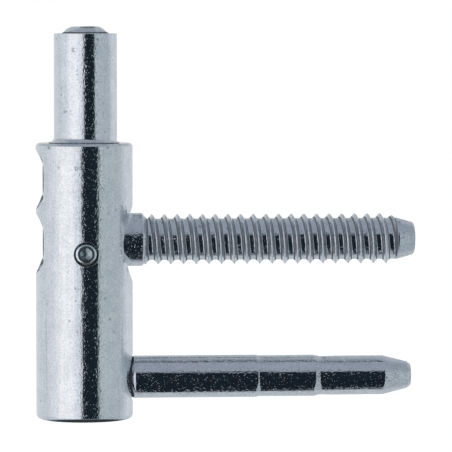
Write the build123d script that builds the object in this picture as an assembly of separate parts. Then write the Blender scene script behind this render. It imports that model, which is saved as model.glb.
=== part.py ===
from build123d import *
import os

# Drill-in hinge half for a door frame. A round barrel carries the upright hinge pin. A threaded pin
# and a smooth dowel stand out of its side and go into two holes bored in the frame.
# Millimetres, +Z up along the hinge axis, +X towards the door frame. The origin lies on the hinge
# axis, where the running length of the hinge pin starts.

os.makedirs("parts", exist_ok=True)

# Clearances between the pieces
press_clearance = 0.01
slip_clearance = 0.05
screw_clearance = 0.03
end_gap = 0.2

# Barrel, turned from round bar
barrel_diameter = 20.0
barrel_wall = 4.0
barrel_height = 57.0
barrel_top_chamfer = 0.5
barrel_foot_radius = 1.0

# Hinge pin: the running length is eccentric to the shank, so turning the pin shifts the door
pin_diameter = 13.0
pin_running_length = 21.5
pin_edge_chamfer = 0.5
pin_eccentricity = 0.3
foot_fillet = 0.9
flange_ledge = 0.8
flange_thickness = 0.15
shank_chamfer = 0.6
shank_floor_wall = 1.75
button_neck_diameter = 8.3
button_neck_height = 0.3
button_diameter = 8.9
button_shoulder_diameter = 8.6
button_top_diameter = 6.2
button_side_height = 0.65
button_height = 1.5

# Spot-faces milled into the back of the barrel, and the holes in their floors
spotface_diameter = 12.5
spotface_depth = 1.54
access_hole_diameter = 6.0
cross_bore_drop = 20.75

# Lock screw of the hinge pin, in the upper spot-face
lock_screw_diameter = 6.0
lock_screw_rise = 5.15
lock_screw_recess = 0.3
lock_neck_step = 0.2
lock_neck_length = 0.4
lock_dog_diameter = 4.0
lock_dog_reach = 0.9
lock_groove_play = 0.2
lock_socket_flats = 3.0
lock_socket_depth = 1.6

# Threaded pin: its head turns in the cross bore, and its collar leaves the barrel
collar_diameter = 11.0
collar_reach = 2.5
collar_chamfer = 0.6
head_past_axis = 5.4
head_chamfer = 0.4
head_socket_flats = 4.0
head_socket_depth = 4.0
cross_bore_diameter = 12.6
cross_bore_countersink = 1.7
thread_crest_diameter = 10.5
thread_root_diameter = 8.6
thread_pitch = 2.64
thread_root_width = 1.2
thread_crest_width = 0.16
thread_start_angle = 260.0
thread_end_reach = 55.45
thread_fade_length = 3.3
thread_runout = 0.1
tip_length = 3.45
tip_diameter = 7.0
tip_edge_radius = 0.5

# Clamp screw in the front of the barrel, whose dog holds the head of the threaded pin
clamp_screw_diameter = 5.0
clamp_screw_drop = 2.5
clamp_screw_recess = 0.35
clamp_neck_step = 0.3
clamp_neck_length = 0.9
clamp_dog_diameter = 3.2
clamp_dog_reach = 1.3
clamp_groove_play = 0.2
clamp_socket_flats = 2.5
clamp_socket_mouth = 3.2
clamp_socket_depth = 2.2

# Smooth dowel: a neck pressed into the barrel, then three diameters and a tapered nose
dowel_drop = 48.5
dowel_neck_diameter = 8.0
dowel_neck_depth = 14.0
dowel_shoulder_reach = 0.2
dowel_shoulder_chamfer = 0.25
dowel_diameters = (8.8, 8.54, 8.15)
dowel_first_reach = 25.6
dowel_second_reach = 37.6
dowel_third_reach = 52.1
dowel_first_step = 0.55
dowel_second_step = 1.35
dowel_taper_length = 5.8
dowel_nose_diameter = 5.5
dowel_nose_radius = 0.8
dowel_countersink = 1.15

# Places worked out from the sizes above
axis_x = -pin_eccentricity
barrel_radius = barrel_diameter / 2
top_z = -foot_fillet - flange_thickness
bottom_z = top_z - barrel_height
cross_bore_z = top_z - cross_bore_drop
dowel_z = top_z - dowel_drop
cross_bore_radius = cross_bore_diameter / 2
collar_radius = collar_diameter / 2
threaded_z = cross_bore_z + cross_bore_radius - collar_radius - slip_clearance
clamp_screw_z = threaded_z - clamp_screw_drop
spotface_floor_x = axis_x - barrel_radius + spotface_depth
head_end_x = axis_x - head_past_axis
shank_radius = barrel_radius - barrel_wall
shank_depth = cross_bore_drop - cross_bore_radius - shank_floor_wall
lock_screw_drop = shank_depth - lock_screw_rise
lock_screw_z = top_z - lock_screw_drop
lock_dog_base = shank_radius + slip_clearance + screw_clearance
clamp_dog_base = collar_radius + slip_clearance + screw_clearance
along = (Align.CENTER, Align.CENTER, Align.MIN)


def turned(*points):
    """A solid turned about Z from (radius, height) points, closed along the axis."""
    first, last = points[0], points[-1]
    outline = Polyline((0, first[1]), *points, (0, last[1]), close=True)
    return revolve(Plane.XZ * make_face(outline), Axis.Z)


def rod(diameter, length):
    """A plain cylinder that stands on the XY plane."""
    return Cylinder(diameter / 2, length, align=along)


def socket(flats, depth):
    """A hexagonal key socket that opens upwards at z = 0, with the drill's cone at its bottom."""
    hexagon = RegularPolygon(flats / 2, 6, major_radius=False)
    drill_cone = Cone(0, flats / 2, flats / 4, align=along)
    return extrude(hexagon, -depth) + Pos(0, 0, -depth - flats / 4) * drill_cone


def to_frame(x, z):
    """Turns local +Z to the row's +X, starting at the point (x, 0, z)."""
    return Pos(x, 0, z) * Rot(0, 90, 0)


def to_back(x, z):
    """Turns local +Z to the row's -X, starting at the point (x, 0, z)."""
    return Pos(x, 0, z) * Rot(0, -90, 0)


def to_front(y, z):
    """Turns local +Z to the row's -Y, starting at the point on the barrel's middle plane."""
    return Pos(axis_x, y, z) * Rot(90, 0, 0)


def make_barrel():
    """The round bar with its bores: shank from above, pins from the frame side, keys from behind."""
    body = Pos(axis_x, 0, bottom_z) * rod(barrel_diameter, barrel_height)
    body = chamfer(body.edges().sort_by(Axis.Z)[-1], barrel_top_chamfer)
    body = fillet(body.edges().sort_by(Axis.Z)[0], barrel_foot_radius)

    shank_bore_diameter = 2 * (shank_radius + slip_clearance)
    body -= Pos(axis_x, 0, top_z - shank_depth) * rod(shank_bore_diameter, shank_depth)

    for z in (lock_screw_z, cross_bore_z):
        body -= to_back(spotface_floor_x, z) * rod(spotface_diameter, barrel_radius)

    lock_hole = to_back(axis_x, lock_screw_z) * rod(lock_screw_diameter, barrel_radius)
    access_hole = to_back(axis_x, cross_bore_z) * rod(access_hole_diameter, barrel_radius)
    body -= lock_hole
    body -= access_hole

    bore_end_x = head_end_x - end_gap
    bore_length = axis_x + barrel_radius - bore_end_x
    body -= to_frame(bore_end_x, cross_bore_z) * rod(cross_bore_diameter, bore_length)
    body -= mouth_cone(cross_bore_z, cross_bore_radius, cross_bore_countersink)

    clamp_hole = to_front(0, clamp_screw_z) * rod(clamp_screw_diameter, barrel_radius)
    body -= clamp_hole

    neck_end_x = axis_x + barrel_radius - dowel_neck_depth
    neck_radius = dowel_neck_diameter / 2 + press_clearance
    body -= to_frame(neck_end_x - end_gap, dowel_z) * rod(2 * neck_radius, dowel_neck_depth + end_gap)
    body -= mouth_cone(dowel_z, neck_radius, dowel_countersink)
    return body


def mouth_cone(z, radius, width):
    """A 45 degree countersink, as wide as stated where it meets the barrel's outermost line."""
    cone = Cone(radius, radius + 2 * width, 2 * width, align=along)
    return to_frame(axis_x + barrel_radius - width, z) * cone


def make_hinge_pin():
    """One turned piece: button, running length, foot, flange and the shank in the barrel."""
    radius = pin_diameter / 2
    side_z = pin_running_length + button_neck_height
    run = turned(
        (radius, 0),
        (radius, pin_running_length - pin_edge_chamfer),
        (radius - pin_edge_chamfer, pin_running_length),
        (button_neck_diameter / 2, pin_running_length),
        (button_neck_diameter / 2, side_z),
        (button_diameter / 2, side_z),
        (button_shoulder_diameter / 2, side_z + button_side_height),
        (button_top_diameter / 2, pin_running_length + button_height),
    )

    wide = radius + foot_fillet
    outline = Polyline((0, 0), (0, top_z), (wide, top_z), (wide, -foot_fillet))
    sweep_in = RadiusArc((wide, -foot_fillet), (radius, 0), foot_fillet, short_sagitta=True)
    foot = revolve(Plane.XZ * make_face([*outline.edges(), sweep_in, Line((radius, 0), (0, 0))]), Axis.Z)
    flange_diameter = pin_diameter + 2 * flange_ledge
    foot &= Pos(axis_x, 0, top_z) * rod(flange_diameter, foot_fillet + flange_thickness)

    shank_length = shank_depth - end_gap
    groove_half = lock_dog_diameter / 2 + lock_groove_play
    groove_radius = lock_dog_base - lock_dog_reach - end_gap
    shank = turned(
        (shank_radius - shank_chamfer, -shank_length),
        (shank_radius, shank_chamfer - shank_length),
        (shank_radius, -lock_screw_drop - groove_half),
        (groove_radius, -lock_screw_drop - groove_half),
        (groove_radius, -lock_screw_drop + groove_half),
        (shank_radius, -lock_screw_drop + groove_half),
        (shank_radius, 0),
    )
    return run + foot + Pos(axis_x, 0, top_z) * shank


def make_thread(start, end):
    """The right-hand thread ridge, its foot sunk in the core: one turn of it, repeated along +Z."""
    height = (thread_crest_diameter - thread_root_diameter) / 2
    path = Helix(thread_pitch, thread_pitch, thread_root_diameter / 2)
    across = Plane(origin=path @ 0, x_dir=(1, 0, 0), z_dir=path % 0)
    sink = height / 4
    crest_half = thread_crest_width / 2
    root_half = thread_root_width / 2
    sunk_half = root_half + (root_half - crest_half) * sink / height
    profile = Polyline(
        (-sink, -sunk_half), (height, -crest_half), (height, crest_half), (-sink, sunk_half), close=True
    )
    turn = Rot(0, 0, thread_start_angle) * sweep(across * make_face(profile), path=path, is_frenet=True)
    whole_turns = int((end - start) / thread_pitch)
    return [Pos(0, 0, start + count * thread_pitch) * turn for count in range(whole_turns)]


def make_threaded_pin():
    """One turned and rolled piece: socketed head with a ring groove, collar, thread and tapered tip."""
    face = barrel_radius
    root_radius = thread_root_diameter / 2
    crest_radius = thread_crest_diameter / 2
    groove_half = clamp_dog_diameter / 2 + clamp_groove_play
    groove_radius = clamp_dog_base - clamp_dog_reach - end_gap
    collar_end = face + collar_reach - collar_chamfer
    thread_end = face + thread_end_reach
    body = turned(
        (collar_radius - head_chamfer, -head_past_axis),
        (collar_radius, head_chamfer - head_past_axis),
        (collar_radius, -groove_half),
        (groove_radius, -groove_half),
        (groove_radius, groove_half),
        (collar_radius, groove_half),
        (collar_radius, collar_end),
        (root_radius, collar_end + collar_radius - root_radius),
        (root_radius, thread_end),
        (tip_diameter / 2, thread_end + tip_length),
    )
    body = fillet(body.edges().sort_by(Axis.Z)[-1], tip_edge_radius)
    body -= Pos(0, 0, -head_past_axis) * Rot(180, 0, 0) * socket(head_socket_flats, head_socket_depth)

    body += make_thread(collar_end, thread_end - thread_root_width / 2 - thread_runout)
    fade_top = crest_radius + thread_runout
    fade = Cone(fade_top, root_radius + thread_runout, thread_fade_length, align=along)
    waste = rod(2 * thread_crest_diameter, thread_fade_length) - fade
    body -= Pos(0, 0, thread_end - thread_fade_length) * waste
    return to_frame(axis_x, threaded_z) * body


def make_dowel():
    """One turned piece: pressed neck, shoulder, three diameters with sloped steps, and a nose."""
    face = barrel_radius
    first, second, third = (diameter / 2 for diameter in dowel_diameters)
    neck = dowel_neck_diameter / 2
    shoulder = face + dowel_shoulder_reach
    nose_end = face + dowel_third_reach + dowel_taper_length
    body = turned(
        (neck - dowel_shoulder_chamfer, face - dowel_neck_depth),
        (neck, face - dowel_neck_depth + dowel_shoulder_chamfer),
        (neck, shoulder),
        (first - dowel_shoulder_chamfer, shoulder),
        (first, shoulder + dowel_shoulder_chamfer),
        (first, face + dowel_first_reach),
        (second, face + dowel_first_reach + dowel_first_step),
        (second, face + dowel_second_reach),
        (third, face + dowel_second_reach + dowel_second_step),
        (third, face + dowel_third_reach),
        (dowel_nose_diameter / 2, nose_end),
    )
    body = fillet(body.edges().sort_by(Axis.Z)[-1], dowel_nose_radius)
    return to_frame(axis_x, dowel_z) * body


def make_set_screw(diameter, length, dog_diameter, dog_length, neck_step, neck_length):
    """A headless screw that stands on its dog point, whose tip is at z = 0."""
    radius = diameter / 2 - screw_clearance
    dog = dog_diameter / 2
    top = dog_length + length
    return turned(
        (dog, 0),
        (dog, dog_length),
        (radius, dog_length),
        (radius, top - neck_length),
        (radius - neck_step, top - neck_length),
        (radius - neck_step, top),
    )


def make_lock_screw():
    """The set screw in the upper spot-face, whose dog sits in the groove of the hinge pin's shank."""
    length = barrel_radius - spotface_depth - lock_screw_recess - lock_dog_base
    screw = make_set_screw(
        lock_screw_diameter, length, lock_dog_diameter, lock_dog_reach, lock_neck_step, lock_neck_length
    )
    screw -= Pos(0, 0, lock_dog_reach + length) * socket(lock_socket_flats, lock_socket_depth)
    tip_x = axis_x - lock_dog_base + lock_dog_reach
    return to_back(tip_x, lock_screw_z) * screw


def make_clamp_screw():
    """The set screw in the front of the barrel, whose dog sits in the groove of the threaded pin."""
    length = barrel_radius - clamp_screw_recess - clamp_dog_base
    screw = make_set_screw(
        clamp_screw_diameter, length, clamp_dog_diameter, clamp_dog_reach, clamp_neck_step, clamp_neck_length
    )
    face_z = clamp_dog_reach + length
    screw -= Pos(0, 0, face_z) * socket(clamp_socket_flats, clamp_socket_depth)
    mouth_depth = (clamp_socket_mouth - clamp_socket_flats) / 2
    mouth = Cone(clamp_socket_flats / 2, clamp_socket_mouth / 2, mouth_depth, align=along)
    screw -= Pos(0, 0, face_z - mouth_depth) * mouth
    tip_y = -clamp_dog_base + clamp_dog_reach
    return to_front(tip_y, clamp_screw_z) * screw


pieces = {
    "barrel": make_barrel(),
    "hinge_pin": make_hinge_pin(),
    "threaded_pin": make_threaded_pin(),
    "dowel_pin": make_dowel(),
    "pin_lock_screw": make_lock_screw(),
    "clamp_screw": make_clamp_screw(),
}
for name, piece in pieces.items():
    export_step(piece, f"parts/{name}.step")
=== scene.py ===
import math

import bpy
import numpy as np
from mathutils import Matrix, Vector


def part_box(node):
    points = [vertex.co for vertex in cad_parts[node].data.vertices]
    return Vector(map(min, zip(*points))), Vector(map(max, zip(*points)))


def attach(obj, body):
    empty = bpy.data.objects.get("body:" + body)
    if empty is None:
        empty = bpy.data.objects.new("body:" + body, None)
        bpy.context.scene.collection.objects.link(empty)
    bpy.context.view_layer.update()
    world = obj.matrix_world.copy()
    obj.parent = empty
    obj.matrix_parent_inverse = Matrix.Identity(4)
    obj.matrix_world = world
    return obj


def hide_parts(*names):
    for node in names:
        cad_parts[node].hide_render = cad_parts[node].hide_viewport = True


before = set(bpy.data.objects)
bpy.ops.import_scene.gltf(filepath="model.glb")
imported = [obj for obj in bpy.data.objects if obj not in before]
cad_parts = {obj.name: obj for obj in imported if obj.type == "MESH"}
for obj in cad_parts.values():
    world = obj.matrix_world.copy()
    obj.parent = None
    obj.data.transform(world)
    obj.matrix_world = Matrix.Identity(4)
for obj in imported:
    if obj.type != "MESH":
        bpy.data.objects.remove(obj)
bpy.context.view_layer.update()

# Barrel. A round bar of drawn steel, turned to length, bored, spot-faced at the back and zinc
# plated; every other piece is fitted into it. Its own solid stays and gets the zinc finish.
MM = 0.001


def box_in_mm(node):
    """Lowest and highest corner of a node, in millimetres."""
    return [np.array(corner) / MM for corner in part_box(node)]


def start_group(name, inputs, outputs):
    """An empty shader node group with its named sockets, each given as (name, kind)."""
    group = bpy.data.node_groups.new(name, "ShaderNodeTree")
    for in_out, sockets in (("INPUT", inputs), ("OUTPUT", outputs)):
        for socket, kind in sockets:
            group.interface.new_socket(socket, in_out=in_out, socket_type="NodeSocket" + kind)
    given = group.nodes.new("NodeGroupInput").outputs
    result = group.nodes.new("NodeGroupOutput").inputs
    return group, given, result


def put(tree, socket, value):
    """Sets a socket to a plain value, or links it to the socket given."""
    if isinstance(value, bpy.types.NodeSocket):
        tree.links.new(value, socket)
    else:
        socket.default_value = value


def maths(tree, operation, *values):
    """A number worked out from the values by one operation."""
    node = tree.nodes.new("ShaderNodeMath")
    node.operation = operation
    for socket, value in zip(node.inputs, values):
        put(tree, socket, value)
    return node.outputs[0]


def vector_maths(tree, operation, *values):
    """A vector, length or dot product worked out from the vectors by one operation."""
    node = tree.nodes.new("ShaderNodeVectorMath")
    node.operation = operation
    for socket, value in zip(node.inputs, values):
        put(tree, socket, value)
    return node.outputs["Value" if operation in ("LENGTH", "DOT_PRODUCT") else "Vector"]


def fade(tree, value, low, high, to_low=0.0, to_high=1.0):
    """Smooth step of a value from to_low at low to to_high at high."""
    node = tree.nodes.new("ShaderNodeMapRange")
    node.interpolation_type = "SMOOTHSTEP"
    for name, number in zip(("Value", "From Min", "From Max", "To Min", "To Max"),
                            (value, low, high, to_low, to_high)):
        put(tree, node.inputs[name], number)
    return node.outputs["Result"]


def mix(tree, factor, first, second):
    """A colour between the first, at factor 0, and the second, at factor 1. A mix node's colour
    sockets are its seventh and eighth inputs and its third output."""
    node = tree.nodes.new("ShaderNodeMix")
    node.data_type = "RGBA"
    for socket, value in ((node.inputs[0], factor), (node.inputs[6], first), (node.inputs[7], second)):
        put(tree, socket, (*value, 1) if isinstance(value, tuple) else value)
    return node.outputs[2]


def scaled(tree, place, scale):
    """A place times a scale for each axis: a pattern over it is drawn out where the scale is small."""
    node = tree.nodes.new("ShaderNodeMapping")
    node.inputs["Scale"].default_value = scale
    put(tree, node.inputs["Vector"], place)
    return node.outputs["Vector"]


def noise(tree, place, scale, detail, stretch=(1, 1, 1)):
    """Noise over a place in millimetres, scale features a millimetre, stretched along one axis."""
    texture = tree.nodes.new("ShaderNodeTexNoise")
    texture.inputs["Scale"].default_value = scale
    texture.inputs["Detail"].default_value = detail
    put(tree, texture.inputs["Vector"], scaled(tree, place, stretch))
    return texture.outputs["Fac"]


def spots(tree, place, scale, low, high, stretch=(1, 1, 1)):
    """Spots, 1 in their middles, on a scatter of points, scale of them a millimetre; round, or
    stretched along one axis."""
    texture = tree.nodes.new("ShaderNodeTexVoronoi")
    texture.inputs["Scale"].default_value = scale
    put(tree, texture.inputs["Vector"], scaled(tree, place, stretch))
    return fade(tree, texture.outputs["Distance"], low, high, 1.0, 0.0)


# Zinc plating: a cloudy, grainy blue-white tone with small dark stains, and a skin with shallow
# dents, orange peel, lines along the bar, pits and a dust of finer specks.
plating, given, result = start_group(
    "zinc_plating",
    [("Place", "Vector"), ("Pale", "Color"), ("Deep", "Color"), ("Stain", "Color"), ("Polish", "Float"),
     ("Dents", "Float"), ("Peel", "Float"), ("Lines", "Float"), ("Pits", "Float"), ("Specks", "Float"),
     ("Stains", "Float")],
    [("Colour", "Color"), ("Roughness", "Float"), ("Normal", "Vector")],
)
place = given["Place"]
grain = fade(plating, noise(plating, place, 2.8, 4), 0.38, 0.62)
clouds = fade(plating, noise(plating, place, 0.35, 5), 0.38, 0.62)
drawn = fade(plating, noise(plating, place, 1.6, 3, (1, 1, 0.04)), 0.40, 0.66)
cloudy = maths(plating, "MULTIPLY_ADD", drawn, 0.25, maths(plating, "MULTIPLY", clouds, 0.25))
tone = mix(plating, maths(plating, "MULTIPLY_ADD", grain, 0.60, cloudy), given["Pale"], given["Deep"])
patchy = fade(plating, noise(plating, place, 0.30, 2), 0.48, 0.60)
big_stain = maths(plating, "MULTIPLY", spots(plating, place, 0.42, 0.06, 0.20), patchy)
small_stain = maths(plating, "MULTIPLY", spots(plating, place, 1.5, 0.05, 0.24),
                    fade(plating, noise(plating, place, 0.8, 2), 0.50, 0.62))
stain = maths(plating, "MULTIPLY", maths(plating, "MAXIMUM", big_stain, small_stain), given["Stains"])
put(plating, result["Colour"], mix(plating, stain, tone, given["Stain"]))
rough = maths(plating, "MULTIPLY_ADD", grain, 0.05, given["Polish"])
put(plating, result["Roughness"], maths(plating, "MULTIPLY_ADD", stain, 0.20, rough))
height = maths(plating, "MULTIPLY", noise(plating, place, 0.45, 2), given["Dents"])
height = maths(plating, "MULTIPLY_ADD", noise(plating, place, 2.3, 3, (1, 1, 0.6)), given["Peel"], height)
height = maths(plating, "MULTIPLY_ADD", noise(plating, place, 2.6, 2, (1, 1, 0.03)), given["Lines"], height)
pit = maths(plating, "MULTIPLY", spots(plating, place, 1.9, 0.0, 0.40, (1, 1, 0.45)),
            fade(plating, noise(plating, place, 1.1, 3), 0.46, 0.60))
height = maths(plating, "SUBTRACT", height, maths(plating, "MULTIPLY", pit, given["Pits"]))
speck = maths(plating, "MULTIPLY", spots(plating, place, 5.0, 0.0, 0.42, (1, 1, 0.3)),
              fade(plating, noise(plating, place, 1.5, 3), 0.38, 0.56))
height = maths(plating, "SUBTRACT", height, maths(plating, "MULTIPLY", speck, given["Specks"]))
bump = plating.nodes.new("ShaderNodeBump")
bump.inputs["Distance"].default_value = MM
put(plating, bump.inputs["Height"], height)
put(plating, result["Normal"], bump.outputs["Normal"])

# Dark place, for painted shade and for real dirt alike: 1 within a radius of a centre, measured
# along the chosen axes only, so that the same formula gives a round hole's wall, a slab, a small
# round mark or a scratch. A negative blur keeps what lies outside the radius, and noise makes the
# edge as ragged as told.
shade_and_dirt, given, result = start_group(
    "shade_and_dirt_place",
    [("Place", "Vector"), ("Centre", "Vector"), ("Along", "Vector"), ("Radius", "Float"),
     ("Blur", "Float"), ("Ragged", "Float")],
    [("Mask", "Float")],
)
gap = vector_maths(shade_and_dirt, "SUBTRACT", given["Place"], given["Centre"])
away = vector_maths(shade_and_dirt, "LENGTH", vector_maths(shade_and_dirt, "MULTIPLY", gap, given["Along"]))
uneven = maths(shade_and_dirt, "SUBTRACT", noise(shade_and_dirt, given["Place"], 2.2, 3), 0.5)
away = maths(shade_and_dirt, "MULTIPLY_ADD", uneven, given["Ragged"], away)
beyond = maths(shade_and_dirt, "DIVIDE", maths(shade_and_dirt, "SUBTRACT", away, given["Radius"]), given["Blur"])
put(shade_and_dirt, result["Mask"], fade(shade_and_dirt, beyond, -0.5, 0.5, 1.0, 0.0))

# The axes that a distance is measured along: all three, one for a slab, two for a round hole or
# pin, and hardly any height for an upright scratch.
ALL = (1, 1, 1)
ALONG_X, ALONG_Y, ALONG_Z = (1, 0, 0), (0, 1, 0), (0, 0, 1)
ROUND_X, ROUND_Y, ROUND_Z = (0, 1, 1), (1, 0, 1), (1, 1, 0)
UPRIGHT = (1, 1, 0.02)


def mark(centre, radius, blur, depth, ragged, axes=ALL):
    """A small dark place of one form on a piece's skin: a stain, a chip, a scratch, painted shade or a
    painted reflection.
    """
    return [(centre, axes, radius, blur)], depth, ragged


def zinc(name, lie, pale, deep, polish, dents, peel, lines, pits, specks, stains, dark_places=()):
    """Zinc-plated steel whose drawn lines follow the axis it lies along. Each dark place is a list of
    (centre, axes, radius, blur) in millimetres, whose masks are multiplied, a depth of tone and the
    raggedness of its edge. A dark place is dull as well."""
    material = bpy.data.materials.new(name)
    material.use_nodes = True
    tree = material.node_tree
    shader = tree.nodes["Principled BSDF"]
    shader.inputs["Specular IOR Level"].default_value = 0.0
    # The dark tone colours painted shade and a painted reflection as well as real stains, chips and
    # scratches.
    stain_tone, shade_and_dirt_tone = (0.16, 0.18, 0.20), (0.02, 0.025, 0.03)
    where = tree.nodes.new("ShaderNodeTexCoord").outputs["Object"]
    in_mm = scaled(tree, where, (1 / MM, 1 / MM, 1 / MM))
    turned_over = tree.nodes.new("ShaderNodeMapping")
    turned_over.inputs["Rotation"].default_value = lie
    put(tree, turned_over.inputs["Vector"], in_mm)
    coat = tree.nodes.new("ShaderNodeGroup")
    coat.node_tree = plating
    put(tree, coat.inputs["Place"], turned_over.outputs["Vector"])
    for socket, colour in (("Pale", pale), ("Deep", deep), ("Stain", stain_tone)):
        coat.inputs[socket].default_value = (*colour, 1)
    for socket, value in (("Polish", polish), ("Dents", dents), ("Peel", peel), ("Lines", lines),
                          ("Pits", pits), ("Specks", specks), ("Stains", stains)):
        coat.inputs[socket].default_value = value
    colour, dull = coat.outputs["Colour"], 0.0
    for forms, depth, ragged in dark_places:
        mask = depth
        for centre, axes, radius, blur in forms:
            form = tree.nodes.new("ShaderNodeGroup")
            form.node_tree = shade_and_dirt
            for socket, value in (("Place", in_mm), ("Centre", centre), ("Along", axes),
                                  ("Radius", radius), ("Blur", blur), ("Ragged", ragged)):
                put(tree, form.inputs[socket], value)
            mask = maths(tree, "MULTIPLY", form.outputs["Mask"], mask)
        colour = mix(tree, mask, colour, shade_and_dirt_tone)
        dull = maths(tree, "MAXIMUM", dull, mask)
    put(tree, shader.inputs["Metallic"], maths(tree, "SUBTRACT", 1.0, dull))
    put(tree, shader.inputs["Base Color"], colour)
    put(tree, shader.inputs["Roughness"], coat.outputs["Roughness"])
    put(tree, shader.inputs["Normal"], coat.outputs["Normal"])
    return material


barrel_low, barrel_high = box_in_mm("barrel")
barrel_axis_x = (barrel_low[0] + barrel_high[0]) / 2
barrel_radius = (barrel_high[0] - barrel_low[0]) / 2
barrel_foot_z = barrel_low[2]
lock_low, lock_high = box_in_mm("pin_lock_screw")
lock_z = (lock_low[2] + lock_high[2]) / 2
lock_radius = (lock_high[2] - lock_low[2]) / 2
clamp_low, clamp_high = box_in_mm("clamp_screw")
clamp_x = (clamp_low[0] + clamp_high[0]) / 2
clamp_z = (clamp_low[2] + clamp_high[2]) / 2
clamp_radius = (clamp_high[0] - clamp_low[0]) / 2
dowel_low, dowel_high = box_in_mm("dowel_pin")
dowel_z = (dowel_low[2] + dowel_high[2]) / 2
dowel_radius = (dowel_high[2] - dowel_low[2]) / 2
tap_wall, mouth_lip, mouth_width, foot_edge = 0.1, 0.09, 1.5, 0.82
near_skin = barrel_radius / 2


def on_barrel(angle, z):
    """Point on the barrel's round side, its angle counted from the front towards the frame."""
    turn = math.radians(angle)
    return barrel_axis_x + barrel_radius * math.sin(turn), -barrel_radius * math.cos(turn), z


barrel_zinc = zinc(
    "barrel_zinc", (0, 0, 0), (0.88, 0.90, 0.93), (0.66, 0.70, 0.74),
    polish=0.07, dents=0.04, peel=0.018, lines=0.009, pits=0.013, specks=0.012, stains=0.55,
    dark_places=(
        # Painted shade: the walls of the two tapped holes near the skin, partly their real unplated thread,
        # and the dowel's mouth, darkened as shade in these recesses.
        ([((0, 0, lock_z), ROUND_X, lock_radius + tap_wall, 0.06),
          ((barrel_low[0], 0, 0), ALONG_X, near_skin, 0.5)], 0.97, 0),
        ([((clamp_x, 0, clamp_z), ROUND_Y, clamp_radius + tap_wall, 0.06),
          ((0, -barrel_radius, 0), ALONG_Y, near_skin, 0.5)], 0.97, 0),
        ([((barrel_axis_x, 0, 0), ROUND_Z, barrel_radius - mouth_lip, 0.06),
          ((barrel_high[0], 0, dowel_z), ALL, dowel_radius + mouth_width, 0.5)], 0.93, 0),
        # A dark band painted round the foot's edge, widest at front and back: a painted reflection of the
        # dark that the edge mirrors.
        mark((barrel_axis_x, 0, barrel_foot_z), foot_edge, 0.25, 0.98, 0.1, (0.10, 0, 1)),
        mark(on_barrel(57, -15.2), 0.35, 0.9, 0.65, 1.0, (1, 1, 0.5)),
        mark(on_barrel(60, -27.0), 0.25, 0.9, 0.55, 1.0, (1, 1, 0.5)),
        ([(on_barrel(-11.5, -6.0), ALL, 0.45, 0.3), (on_barrel(-11.5, -6.0), ALL, 0.2, -0.2)], 0.55, 0.5),
        mark(on_barrel(-34, -5.8), 0.25, 0.5, 0.40, 0.6),
        mark(on_barrel(26, -1.75), 0.25, 0.5, 0.80, 0.8),
        mark(on_barrel(-49, -1.8), 0.3, 0.6, 0.70, 0.8),
        mark(on_barrel(-13, -30.5), 0.2, 0.4, 0.50, 0.5),
        mark(on_barrel(-13, -33), 0.2, 0.4, 0.50, 0.5),
        mark(on_barrel(34, -39.5), 0.2, 0.4, 0.55, 0.5),
        mark(on_barrel(49, -42.5), 0.05, 0.4, 0.30, 0.5, UPRIGHT),
        mark(on_barrel(-54, -42), 0.12, 0.5, 0.35, 0.5, UPRIGHT),
    ),
)


def dress(piece, material):
    """Gives a piece one material all over."""
    piece.data.materials.clear()
    piece.data.materials.append(material)


dress(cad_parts["barrel"], barrel_zinc)

# Hinge pin. Turned from bar in one piece: button, running length, flared foot with its thin
# flange, and the eccentric shank that the barrel hides. Zinc plated, its button worn by hand.


def eased(corners, ease):
    """Profile through corner points (radius, height). Each inner corner P is softened from A, one ease
    before it, to C, one ease after it, along (1 - t)^2 A + 2 t (1 - t) P + t^2 C, and a point a little
    further out on each side keeps the straight runs flat."""
    points = np.array(corners, dtype=float)
    corner = points[1:-1]
    back, ahead = points[:-2] - corner, points[2:] - corner
    back_length = np.linalg.norm(back, axis=1, keepdims=True)
    ahead_length = np.linalg.norm(ahead, axis=1, keepdims=True)
    ease = np.minimum(ease, 0.4 * np.minimum(back_length, ahead_length))
    start, end = corner + back / back_length * ease, corner + ahead / ahead_length * ease
    t = np.linspace(0, 1, 5)[:, None, None]
    curve = (1 - t) ** 2 * start + 2 * t * (1 - t) * corner + t**2 * end
    hold_before = corner + back / back_length * ease * 1.2
    hold_after = corner + ahead / ahead_length * ease * 1.2
    rows = np.concatenate((hold_before[None], curve, hold_after[None]))
    return np.vstack((points[:1], rows.transpose(1, 0, 2).reshape(-1, 2), points[-1:]))


def turned_rings(profile, count, socket_rings=0):
    """Rings round local +Z: (r cos a, r sin a, h) for each (r, h) of the profile. In the last
    socket_rings rings r is the distance to a hexagon's flat, and is divided by the cosine of the
    angle from the middle of the nearest flat."""
    angle = np.linspace(0, 2 * math.pi, count, endpoint=False)
    radius = np.repeat(profile[:, :1], count, axis=1)
    if socket_rings:
        sixth = math.pi / 3
        from_flat = (angle + sixth / 2) % sixth - sixth / 2
        radius[-socket_rings:] /= np.cos(from_flat)
    level = np.broadcast_to(profile[:, 1:], radius.shape)
    return np.stack((radius * np.cos(angle), radius * np.sin(angle), level), axis=-1)


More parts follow.
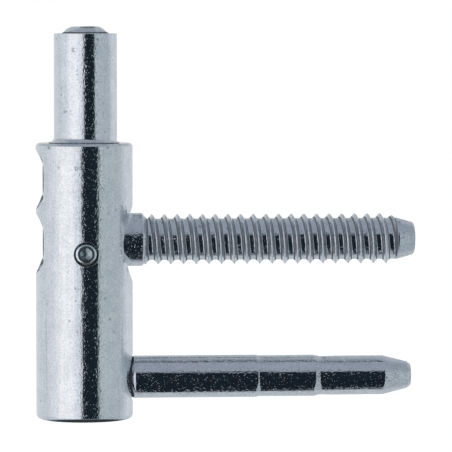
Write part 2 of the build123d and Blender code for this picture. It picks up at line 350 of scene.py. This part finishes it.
def skin(name, rings, axes, origin, node, material):
    """Closed skin over rings of points in millimetres: quads join each ring to the next, and fans close
    the first and the last ring on their middles. A local point (x, y, z) goes to origin + x, y and z
    times the three axes."""
    steps, count = rings.shape[:2]
    middles = rings[[0, -1]].mean(axis=1)
    points = np.vstack((rings.reshape(-1, 3), middles)) @ np.array(axes, dtype=float) + origin
    here = np.arange((steps - 1) * count).reshape(steps - 1, count)
    beside = np.roll(here, -1, axis=1)
    quads = np.stack((here, beside, beside + count, here + count), axis=-1).reshape(-1, 4)
    first, last = np.arange(count), np.arange(count) + (steps - 1) * count
    foot = np.full(count, steps * count)
    bottom = np.stack((foot, np.roll(first, -1), first), axis=-1)
    top = np.stack((foot + 1, last, np.roll(last, -1)), axis=-1)
    sharp_edge = math.radians(42)
    mesh = bpy.data.meshes.new(name)
    mesh.from_pydata((points * MM).tolist(), [], quads.tolist() + bottom.tolist() + top.tolist())
    mesh.shade_smooth()
    mesh.set_sharp_from_angle(angle=sharp_edge)
    piece = bpy.data.objects.new(name, mesh)
    bpy.context.scene.collection.objects.link(piece)
    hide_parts(node)
    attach(piece, "root")
    dress(piece, material)
    return piece


pin_low, pin_high = box_in_mm("hinge_pin")
button_top, button_height = pin_high[2], 1.5
pin_top = button_top - button_height
pin_radius, foot_radius = 6.5, 0.9
flange_radius, flange_foot = (pin_high[1] - pin_low[1]) / 2, barrel_high[2]
bore_wall, groove_depth, groove_half = 4.0, 1.02, 2.2
shank_radius, shank_foot, shank_edge = barrel_radius - bore_wall, pin_low[2], 0.6
groove_radius = shank_radius - groove_depth
pin_steps = 96

shank = eased(
    [(0.2, shank_foot), (shank_radius - shank_edge, shank_foot), (shank_radius, shank_foot + shank_edge),
     (shank_radius, lock_z - groove_half), (groove_radius, lock_z - groove_half),
     (groove_radius, lock_z + groove_half), (shank_radius, lock_z + groove_half),
     (shank_radius, flange_foot), (flange_radius, flange_foot), (flange_radius, -foot_radius)], 0.06)
sweep = np.linspace(math.radians(84), 0, 12)
flare = np.stack((pin_radius + foot_radius * (1 - np.cos(sweep)), -foot_radius * np.sin(sweep)), axis=-1)
button = eased(
    [(pin_radius, 0.3), (pin_radius, pin_top), (4.95, pin_top - 0.02), (4.75, pin_top + 0.12),
     (4.46, pin_top + 0.34), (4.25, pin_top + 0.56), (4.10, pin_top + 0.77), (3.86, pin_top + 0.98),
     (3.45, pin_top + 1.20), (2.95, button_top - 0.06), (2.2, button_top - 0.01),
     (0.3, button_top - 0.1)], 0.16)
pin_profile = np.vstack((shank, flare, button))
pin_rings = turned_rings(pin_profile, pin_steps)
off_centre = np.clip(-pin_profile[:, 1] / foot_radius, 0, 1) * barrel_axis_x
pin_rings[..., 0] += off_centre[:, None]


def wear(rings, profile):
    """Wears the button unevenly. At an angle a round it, w = 0.4 sin(3a + 0.8) + 0.35 sin(7a + 2) +
    0.25 sin(13a); it gets narrower by 1.6 percent times 1 + w, and lower by 0.05 mm times
    1 + sin(2a + 0.6w)."""
    around = np.linspace(0, 2 * math.pi, rings.shape[1], endpoint=False)
    worn = np.clip((profile[:, 1] - pin_top - 0.1) / 0.4, 0, 1)[:, None]
    wave = 0.4 * np.sin(3 * around + 0.8) + 0.35 * np.sin(7 * around + 2.0) + 0.25 * np.sin(13 * around)
    rings[..., :2] *= (1 - 0.016 * worn * (1 + wave))[..., None]
    upper = rings[..., 2] > pin_top + 0.2
    rings[..., 2] -= 0.10 * worn * upper * (0.5 + 0.5 * np.sin(2 * around + 0.6 * wave))


wear(pin_rings, pin_profile)

pin_zinc = zinc(
    "pin_zinc", (0, 0, 0), (0.87, 0.89, 0.93), (0.65, 0.69, 0.74),
    polish=0.07, dents=0.03, peel=0.019, lines=0.009, pits=0.022, specks=0.013, stains=0.5,
    dark_places=(
        # Painted shade in the crease round the button's foot.
        ([((0, 0, pin_top + 0.16), ALONG_Z, 0.18, 0.16), ((0, 0, 0), ROUND_Z, 5.0, 0.1)], 0.92, 0.35),
        mark((0.4, -2.9, button_top - 0.15), 0.85, 0.6, 0.85, 1.0, (0.5, 1, 1)),
        # Painted shadow: a thin dark band at the flange's foot for the gap above the barrel's top.
        mark((0, 0, flange_foot), 0.14, 0.10, 0.85, 0.08, ALONG_Z),
        ([((-2.6, -5.95, pin_top - 3.4), ALL, 0.5, 0.25),
          ((-2.3, -6.0, pin_top - 3.4), ALL, 0.3, -0.2)], 0.40, 0.5),
        mark((-1.9, -6.2, pin_top - 7.6), 0.15, 0.3, 0.50, 0.4),
        mark((-1.9, -6.2, pin_top - 8.4), 0.12, 0.3, 0.45, 0.4),
        mark((-5.1, -4.0, pin_top - 12.6), 0.22, 0.4, 0.60, 0.5),
        mark((-4.1, -5.0, pin_top - 16.0), 0.20, 0.4, 0.50, 0.5),
        mark((-3.2, -5.6, pin_top - 15.8), 0.12, 0.4, 0.45, 0.5),
        mark((3.4, -5.5, pin_top - 14.2), 0.15, 0.4, 0.55, 0.5),
        mark((2.3, -6.08, pin_top - 13.6), 0.035, 0.08, 0.40, 0.05, UPRIGHT),
    ),
)
skin("hinge_pin_skin", pin_rings, np.eye(3), (0, 0, 0), "hinge_pin", pin_zinc)

# Lock screw of the hinge pin. A headless set screw with a dog point, bought in; it sits in the
# upper spot-face at the back and its dog holds the shank's groove. Its face, socket and all, is
# painted dark as shade from the tapped hole round it.


def set_screw(name, node, axes, origin, material, length, dog, dog_length, body, neck, neck_length, mouth,
              flat, depth):
    """A set screw along local +Z from its dog's tip, given by its lengths and by the radii of its
    parts: dog, body, neck, a face that slopes down to its rim, the socket's sloped mouth, the hexagon,
    flat being half its width, and the drill's cone."""
    face_slope, mouth_depth, cone_depth, screw_steps = 0.26, 0.36, 0.45, 72
    face = length - face_slope
    mouth_foot, bore_foot = length - mouth_depth, length - depth
    profile = eased(
        [(0.2, 0), (dog, 0), (dog, dog_length), (body, dog_length), (body, length - neck_length),
         (neck, length - neck_length), (neck, face), (mouth, length), (flat + 0.06, mouth_foot)], 0.05)
    bore = np.array([(flat, length - 0.40), (flat, length - 0.7), (flat, bore_foot),
                     (flat * 0.86, bore_foot - 0.04), (0.2, bore_foot - cone_depth)])
    rings = turned_rings(np.vstack((profile, bore)), screw_steps, socket_rings=4)
    return skin(name, rings, axes, origin, node, material)


lock_zinc = zinc(
    "lock_screw_zinc", (0, math.radians(90), 0), (0.52, 0.56, 0.60), (0.40, 0.44, 0.48),
    polish=0.22, dents=0.0, peel=0.02, lines=0.0, pits=0.02, specks=0.0, stains=0.6,
    # Painted shade over the whole face, from the tapped hole the screw sits deep in.
    dark_places=(mark((0, 0, lock_z), lock_radius, 0.2, 0.93, 0, ROUND_X),),
)
toward_back = [(0, 0, 1), (0, 1, 0), (-1, 0, 0)]
set_screw(
    "pin_lock_screw_skin", "pin_lock_screw", toward_back, (lock_high[0], 0, lock_z), lock_zinc,
    length=lock_high[0] - lock_low[0], dog=2.0, dog_length=0.9, body=lock_radius,
    neck=lock_radius - 0.35, neck_length=0.5, mouth=1.9, flat=1.5, depth=1.6,
)

# Threaded pin. Turned and rolled in one piece: socketed head with a ring groove inside the barrel,
# collar, coarse right-hand thread and tapered tip. The rolled ridge is rounded at crest and foot.
thread_low, thread_high = box_in_mm("threaded_pin")
collar_radius = (thread_high[2] - thread_low[2]) / 2
thread_z = (thread_high[2] + thread_low[2]) / 2
head_end, head_chamfer = thread_low[0] - barrel_axis_x, 0.4
key_flat, key_depth = 2.0, 4.0
ring_radius, ring_half = 4.08, 1.8
collar_length, collar_slope = 1.9, 1.15
collar_end = barrel_radius + collar_length
last_turned, first_rolled = collar_end - 0.3, collar_end - 0.25
root_radius, crest_radius, pitch = 4.3, 5.25, 2.64
root_uneven, crest_uneven = 0.02, 0.05
thread_start, thread_start_angle = collar_end, math.radians(260)
ridge_half, crest_round, foot_round = 0.66, 0.09, 0.10
full_until, gone_by, run_out_drop = 62.7, 65.7, 0.6
tip_set_back, cone_length, tip_radius, tip_round = 0.3, 3.5, 3.3, 0.55
tip_end = thread_high[0] - barrel_axis_x - tip_set_back
cone_start = tip_end - cone_length
thread_steps, along_thread, along_tip = 90, 730, 34
toward_frame = [(0, 0, -1), (0, 1, 0), (1, 0, 0)]


def soft_above(value, base, softness):
    """The larger of a value and a base, rounded where they meet: softness * log(1 + exp(difference))."""
    return base + softness * np.logaddexp(0, (value - base) / softness)


def threaded_radius(reach, angle):
    """Radius at a reach along the pin and an angle round it. The distance to the nearest turn of the
    helix is d = reach - start - pitch * (angle - start angle) / one turn, folded to half a pitch. The
    ridge is a triangle in d, its tip rounded by sqrt(d^2 + c^2) and its foot by a soft maximum, and it
    dies away towards the tip. Slow sines along and round the pin stand for the rolling's unevenness."""
    turns = (reach - thread_start) / pitch - (angle - thread_start_angle) / (2 * math.pi)
    from_crest = pitch * (turns - np.round(turns))
    drop = (np.hypot(from_crest, crest_round) - crest_round) / ridge_half
    t = np.clip((reach - full_until) / (gone_by - full_until), 0, 1)
    alive = 1 - t * t * (3 - 2 * t)
    rolled = 0.5 + 0.3 * np.sin(2.3 * reach + angle) + 0.2 * np.sin(5.1 * reach - 2 * angle)
    ridge = root_radius + (crest_radius - root_radius) * (1 - drop) * alive - crest_uneven * rolled
    ridge -= run_out_drop * (1 - alive) ** 4
    return soft_above(ridge, root_radius - root_uneven * rolled, foot_round)


def body_rings():
    """Rings from the collar's edge to the tip: (r cos a, r sin a, reach) with r the larger of the
    threaded radius and the collar's chamfer, and, on the tip, no more than the cone's radius. The
    cone narrows evenly and ends in an edge rounded by 1 - sqrt(1 - e^2)."""
    thread_reach = np.linspace(first_rolled, cone_start, along_thread)
    tip_reach = np.linspace(cone_start, tip_end, along_tip)[1:]
    around = np.linspace(0, 2 * math.pi, thread_steps, endpoint=False)
    reach, angle = np.meshgrid(np.concatenate((thread_reach, tip_reach)), around, indexing="ij")
    chamfer = np.minimum(collar_radius, collar_radius - (reach - collar_end) * collar_slope)
    radius = np.where(reach > collar_end - 0.1, threaded_radius(reach, angle), 0)
    radius = np.maximum(radius, chamfer)
    cone = root_radius - (root_radius - tip_radius) * (reach - cone_start) / (tip_end - cone_start)
    edge = np.clip((reach - tip_end + tip_round) / tip_round, 0, 1)
    cone -= tip_round * (1 - np.sqrt(1 - edge**2 * 0.98))
    radius = np.where(reach > cone_start, np.minimum(radius, cone), radius)
    return np.stack((radius * np.cos(angle), radius * np.sin(angle), reach), axis=-1)


key_bore = np.array([(0.2, head_end + key_depth + 1.0), (key_flat, head_end + key_depth)])
head_profile = eased(
    [(key_flat, head_end + 0.3), (key_flat + 0.5, head_end), (collar_radius - head_chamfer, head_end),
     (collar_radius, head_end + head_chamfer), (collar_radius, -ring_half), (ring_radius, -ring_half),
     (ring_radius, ring_half), (collar_radius, ring_half), (collar_radius, last_turned)], 0.08)
end_profile = np.array([(tip_radius - 0.75, tip_end), (0.3, tip_end)])
thread_rings = np.concatenate((
    turned_rings(key_bore, thread_steps, socket_rings=2), turned_rings(head_profile, thread_steps),
    body_rings(), turned_rings(end_profile, thread_steps)))

lying = (0, math.radians(-90), 0)
thread_zinc = zinc(
    "thread_zinc", lying, (0.80, 0.82, 0.86), (0.60, 0.65, 0.70),
    polish=0.09, dents=0.03, peel=0.040, lines=0.004, pits=0.036, specks=0.020, stains=0.6,
    dark_places=(
        # Painted shade low on the ridge's flanks by the roots, together with the real dark lines of dirt
        # there.
        ([((0, 0, thread_z), ROUND_X, root_radius + 0.28, 0.26),
          ((0, 0, thread_z), ROUND_X, root_radius + 0.022, -0.025)], 0.86, 0.02),
        mark((barrel_axis_x + tip_end, 0, 0), 0.25, 0.2, 0.60, 0.05, ALONG_X),
    ),
)
skin("threaded_pin_skin", thread_rings, toward_frame, (barrel_axis_x, 0, thread_z), "threaded_pin",
     thread_zinc)

# Clamp screw. A smaller set screw of the same kind in the front of the barrel, its face just under
# the surface; slackened, it frees the threaded pin for adjustment.
clamp_zinc = zinc(
    "clamp_screw_zinc", (math.radians(90), 0, 0), (0.76, 0.84, 0.88), (0.60, 0.69, 0.74),
    polish=0.10, dents=0.0, peel=0.03, lines=0.0, pits=0.04, specks=0.01, stains=0.6,
    dark_places=(
        # Painted shade inside the socket, darkest at its middle, towards its lower side and round its
        # mouth, partly the real dark phosphate there.
        mark((clamp_x, 0, clamp_z), 1.30, 0.12, 0.30, 0.6, ROUND_Y),
        mark((clamp_x, 0, clamp_z - 0.1), 0.35, 0.5, 0.60, 0.6, ROUND_Y),
        mark((clamp_x + 0.1, 0, clamp_z - 1.75), 0.75, 0.5, 0.75, 0.8, ROUND_Y),
        ([((clamp_x, clamp_low[1] + 0.2, clamp_z), ALONG_Y, 0.34, 0.1),
          ((clamp_x, 0, clamp_z), ROUND_Y, 1.74, 0.12)], 0.95, 0.1),
    ),
)
toward_front = [(1, 0, 0), (0, 0, 1), (0, -1, 0)]
set_screw(
    "clamp_screw_skin", "clamp_screw", toward_front, (clamp_x, clamp_high[1], clamp_z), clamp_zinc,
    length=clamp_high[1] - clamp_low[1], dog=1.6, dog_length=1.3, body=clamp_radius,
    neck=clamp_radius - 0.30, neck_length=0.9, mouth=1.62, flat=1.25, depth=2.2,
)

# Dowel. A smooth pin turned in one piece with a neck pressed into the barrel, three diameters that
# step down towards the frame, and a tapered nose that finds the hole. Zinc plated.
dowel_foot, dowel_reach = dowel_low[0] - barrel_axis_x, dowel_high[0] - barrel_axis_x
neck_radius, neck_edge = 4.0, 0.25
shoulder_foot, shoulder_top = barrel_radius - 0.36, barrel_radius + 0.24
second_radius, third_radius, nose_radius = 4.27, 4.075, 2.75
first_step, second_step, taper = 35.6, 47.6, 62.1
dowel_profile = eased(
    [(0.2, dowel_foot), (neck_radius - neck_edge, dowel_foot), (neck_radius, dowel_foot + neck_edge),
     (neck_radius, shoulder_foot), (dowel_radius - 0.32, shoulder_foot), (dowel_radius, shoulder_top),
     (dowel_radius, first_step), (second_radius - 0.02, first_step + 0.58),
     (second_radius, first_step + 2.0), (second_radius + 0.02, second_step - 1.5),
     (second_radius + 0.04, second_step), (third_radius - 0.07, second_step + 1.32),
     (third_radius, second_step + 4.0), (third_radius, taper), (nose_radius + 0.05, dowel_reach - 0.75),
     (nose_radius - 0.5, dowel_reach), (0.3, dowel_reach)], 0.22)
dowel_zinc = zinc(
    "dowel_zinc", lying, (0.85, 0.87, 0.91), (0.65, 0.69, 0.74),
    polish=0.06, dents=0.03, peel=0.016, lines=0.020, pits=0.026, specks=0.020, stains=0.5,
    dark_places=(
        # Painted shade on the neck, down in the barrel's mouth.
        mark((barrel_axis_x, 0, 0), barrel_radius - 0.34, 0.1, 0.97, 0, ALONG_X),
        mark((barrel_axis_x + dowel_reach, 0, 0), 0.20, 0.2, 0.40, 0.05, ALONG_X),
    ),
)
skin("dowel_pin_skin", turned_rings(dowel_profile, pin_steps), toward_frame, (barrel_axis_x, 0, dowel_z),
     "dowel_pin", dowel_zinc)

# Floor. Plain and pale, well under the object, which the dowel's mount holds in the air: it takes
# the object's soft shadow from a wide sun, and to the camera its lit part is as white as the backdrop.
floor_z, floor_half = -0.13, 4.0
floor_mesh = bpy.data.meshes.new("floor")
floor_mesh.from_pydata(
    [(-floor_half, -floor_half, floor_z), (floor_half, -floor_half, floor_z),
     (floor_half, floor_half, floor_z), (-floor_half, floor_half, floor_z)], [], [(0, 1, 2, 3)])
floor = bpy.data.objects.new("floor", floor_mesh)
bpy.context.scene.collection.objects.link(floor)
floor_paint = bpy.data.materials.new("floor_paint")
floor_paint.use_nodes = True
tree = floor_paint.node_tree
paint = tree.nodes["Principled BSDF"]
paint.inputs["Base Color"].default_value = (0.86, 0.86, 0.86, 1)
paint.inputs["Roughness"].default_value = 1.0
paint.inputs["Specular IOR Level"].default_value = 0.0
paint.inputs["Emission Color"].default_value = (1, 1, 1, 1)
path = tree.nodes.new("ShaderNodeLightPath")
put(tree, paint.inputs["Emission Strength"], maths(tree, "MULTIPLY", path.outputs["Is Camera Ray"], 0.12))
dress(floor, floor_paint)
floor.visible_glossy = False

sun_data = bpy.data.lights.new("wide_sun", "SUN")
sun_data.energy = 1.6
sun_data.angle = math.radians(40)
sun = bpy.data.objects.new("wide_sun", sun_data)
sun.rotation_euler = (math.radians(12), math.radians(-14), 0)
sun.visible_glossy = False
bpy.context.scene.collection.objects.link(sun)

# Light tent. Metal sees the white tent that stands for the backdrop too: bright on the left, grey
# on the right, blue-grey overhead, with the dark opening for the lens in front. To the camera the
# backdrop is plain white, and the floor gets an even soft light.
tent = bpy.data.worlds.new("light_tent")
bpy.context.scene.world = tent
tent.use_nodes = True
tree = tent.node_tree
tree.nodes.clear()
direction = tree.nodes.new("ShaderNodeTexCoord").outputs["Generated"]
xyz = tree.nodes.new("ShaderNodeSeparateXYZ")
put(tree, xyz.inputs["Vector"], direction)
azimuth = maths(tree, "ARCTAN2", xyz.outputs["X"], maths(tree, "MULTIPLY", xyz.outputs["Y"], -1.0))
turn = maths(tree, "MULTIPLY_ADD", azimuth, 0.5 / math.pi, 0.5)
walls = tree.nodes.new("ShaderNodeValToRGB")
put(tree, walls.inputs["Fac"], turn)
wall_tones = (
    (-180, (0.77, 0.79, 0.80)), (-112, (0.68, 0.71, 0.74)), (-80, (0.79, 0.81, 0.85)),
    (-58, (1.04, 1.03, 1.04)), (-34, (1.03, 1.03, 1.04)), (-18, (0.84, 0.86, 0.91)),
    (-11, (0.70, 0.74, 0.80)), (28, (0.49, 0.55, 0.58)), (88, (0.46, 0.51, 0.54)),
    (116, (0.69, 0.73, 0.77)), (150, (0.66, 0.69, 0.71)), (180, (0.70, 0.72, 0.74)),
)
stops = walls.color_ramp.elements
while len(stops) < len(wall_tones):
    stops.new(0.5)
for stop, (angle_from_front, tone) in zip(stops, wall_tones):
    stop.position = angle_from_front / 360 + 0.5
    stop.color = (*tone, 1)
degrees = maths(tree, "MULTIPLY", azimuth, 180 / math.pi)
left_edge, right_edge, darkness = (-11, -6), (33.5, 31.5), (0.010, 0.017, 0.025)
opening = maths(tree, "MULTIPLY", fade(tree, degrees, *left_edge), fade(tree, degrees, *right_edge))
high = fade(tree, xyz.outputs["Z"], 0.08, 0.5, 0.0, 0.55)
low = fade(tree, xyz.outputs["Z"], -0.10, -0.7, 0.0, 0.30)
walls_seen = mix(tree, maths(tree, "ADD", high, low), walls.outputs["Color"], (0.30, 0.34, 0.38))
view = mix(tree, opening, walls_seen, darkness)


def cap(elevation, half_angle, blur):
    """1 where a direction lies within half_angle of an axis in the front plane at an elevation."""
    tilt = math.radians(elevation)
    axis = (0, -math.cos(tilt), math.sin(tilt))
    closeness = vector_maths(tree, "DOT_PRODUCT", direction, axis)
    return fade(tree, closeness, math.cos(math.radians(half_angle + blur)),
                math.cos(math.radians(half_angle - blur)))


# The dark table right below, the blue-grey roof, and the dark gap where the roof ends at the back.
for elevation, half_angle, blur, tone in ((-84.5, 8.5, 1.0, darkness), (72, 45, 1.5, (0.34, 0.38, 0.44)),
                                          (128, 6, 2.0, (0.10, 0.12, 0.15))):
    view = mix(tree, cap(elevation, half_angle, blur), view, tone)
ray = tree.nodes.new("ShaderNodeLightPath")
mirrored = maths(tree, "MAXIMUM", ray.outputs["Is Glossy Ray"], ray.outputs["Is Transmission Ray"])
colour = mix(tree, mirrored, (0.57, 0.63, 0.68), view)
colour = mix(tree, ray.outputs["Is Camera Ray"], colour, (1.0, 1.0, 1.0))
background = tree.nodes.new("ShaderNodeBackground")
put(tree, background.inputs["Color"], colour)
world_output = tree.nodes.new("ShaderNodeOutputWorld")
put(tree, world_output.inputs["Surface"], background.outputs["Background"])

# Camera. A long lens, a little to the left of the object and a little above the middle of it.
target = np.array((0.02909, 0.0, -0.01835))
distance = 0.700
turned_left, look_down = math.radians(-4.85), math.radians(3.0)
focal_pixels, picture_pixels = 3376, 452
outward = np.array((math.sin(turned_left) * math.cos(look_down),
                    -math.cos(turned_left) * math.cos(look_down), math.sin(look_down)))
lens = bpy.data.cameras.new("lens")
lens.sensor_width = 36
lens.lens = focal_pixels / picture_pixels * lens.sensor_width
camera = bpy.data.objects.new("camera", lens)
camera.location = target + distance * outward
camera.rotation_euler = (math.pi / 2 - look_down, 0, turned_left)
bpy.context.scene.collection.objects.link(camera)
bpy.context.scene.camera = camera
bpy.context.scene.view_settings.view_transform = "Standard"
